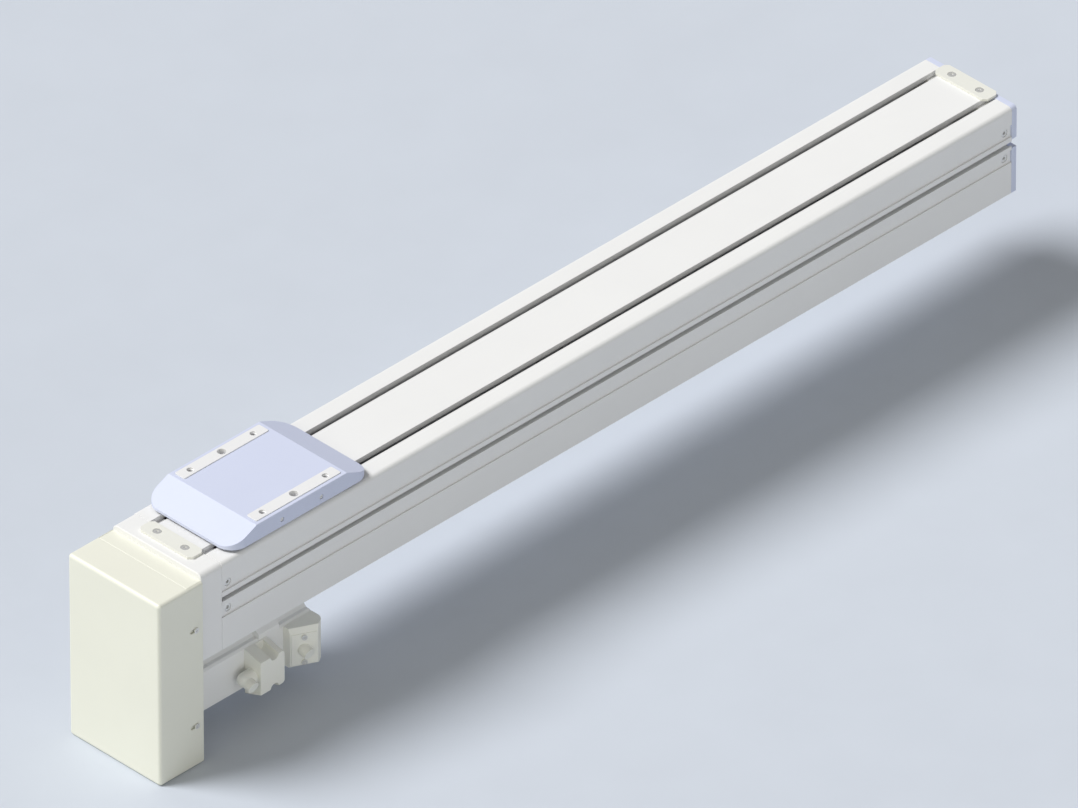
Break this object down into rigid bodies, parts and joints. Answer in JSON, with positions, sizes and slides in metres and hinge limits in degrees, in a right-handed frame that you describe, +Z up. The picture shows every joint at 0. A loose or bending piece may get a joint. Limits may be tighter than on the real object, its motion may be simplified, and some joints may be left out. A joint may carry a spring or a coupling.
{
  "type": "ball screw linear axis",
  "caption": "Motorised ball screw linear axis: extruded profile, sliding carriage, belt-coupled folded motor in a tall end housing.",
  "frame": {"origin": "centre of the base mounting pattern, on the base face of the profile", "axes": "+X along the travel, away from the drive end; +Z up through the carriage's mounting pads; +Y completes it"},
  "size_m": [1.0226, 0.1116, 0.2103],
  "materials": {
    "clear_anodised": "satin clear anodised extrusion",
    "machined_aluminium": "fine milled",
    "lavender_anodised": "satin lavender-grey anodised",
    "ivory_coat": "fine powder coat",
    "clamp_plate": "satin ivory plate",
    "motor_coat": "light grey coat",
    "motor_casting": "die cast",
    "connector_shell": "moulded",
    "ground_steel": "ground and polished",
    "guide_steel": "ground",
    "dark_steel": "black oxide",
    "screw_steel": "zinc plated",
    "pulley_aluminium": "turned and hobbed",
    "belt_rubber": "moulded neoprene",
    "black_rubber": "moulded"
  },
  "bodies": {
    "axis_frame": {"base_profile": "clear_anodised", "profile_side_screws": "screw_steel", "cover_strip": "clear_anodised", "strip_clamp_drive_end": "clamp_plate", "strip_clamp_idle_end": "clamp_plate", "clamp_screws": "screw_steel", "drive_end_block": "clear_anodised", "fixed_bearing_outer_rings": "ground_steel", "bearing_retainer": "dark_steel", "bearing_retainer_screws": "screw_steel", "idle_end_block": "clear_anodised", "idle_bearing_outer_ring": "ground_steel", "end_plate": "lavender_anodised", "end_plate_screws": "screw_steel", "stop_bumper_drive_end": "black_rubber", "stop_bumper_idle_end": "black_rubber", "guide_rail_right": "ground_steel", "guide_rail_left": "ground_steel", "rail_screws": "screw_steel", "motor_mount_plate": "ivory_coat", "mount_plate_bolts": "screw_steel", "pulley_cover": "ivory_coat", "pulley_cover_screws": "screw_steel", "timing_belt": "belt_rubber", "motor_front_flange": "motor_casting", "motor_shaft_seal": "black_rubber", "motor_body": "motor_coat", "motor_encoder_housing": "motor_coat", "motor_screws": "screw_steel", "power_connector": "connector_shell", "power_cable_gland": "connector_shell", "encoder_connector": "connector_shell", "encoder_cable_gland": "connector_shell", "connector_screws": "screw_steel"},
    "carriage": {"carriage_plate": "machined_aluminium", "carriage_cover": "lavender_anodised", "cover_side_screws": "screw_steel", "carriage_saddle": "clear_anodised", "plate_screws": "screw_steel", "guide_block_screws": "screw_steel", "ball_nut": "ground_steel", "nut_screws": "screw_steel", "guide_block_drive_right": "guide_steel", "guide_block_drive_left": "guide_steel", "guide_block_idle_right": "guide_steel", "guide_block_idle_left": "guide_steel"},
    "screw": {"ball_screw": "ground_steel", "fixed_bearing_inner_rings": "ground_steel", "bearing_lock_nut": "dark_steel", "idle_bearing_inner_ring": "ground_steel", "journal_circlip": "dark_steel", "screw_pulley": "pulley_aluminium"},
    "motor_rotor": {"motor_shaft": "ground_steel", "motor_pulley": "pulley_aluminium"}
  },
  "joints": [
    {"name": "carriage_slide", "type": "slide", "parent": "axis_frame", "child": "carriage", "axis": [1, 0, 0], "range_m": [-0.005, 0.75]},
    {"name": "screw_spin", "type": "hinge", "parent": "axis_frame", "child": "screw", "pos_m": [-0.54, 0, 0.0366], "axis": [1, 0, 0], "range_deg": [-27000, 180]},
    {"name": "motor_spin", "type": "hinge", "parent": "axis_frame", "child": "motor_rotor", "pos_m": [-0.54, 0, -0.0534], "axis": [1, 0, 0], "range_deg": [-27000, 180]}
  ],
  "couplings": [
    {"joint": "screw_spin", "follows": "carriage_slide", "rad_per_m": -628.32},
    {"joint": "motor_spin", "follows": "carriage_slide", "rad_per_m": -628.32}
  ]
}
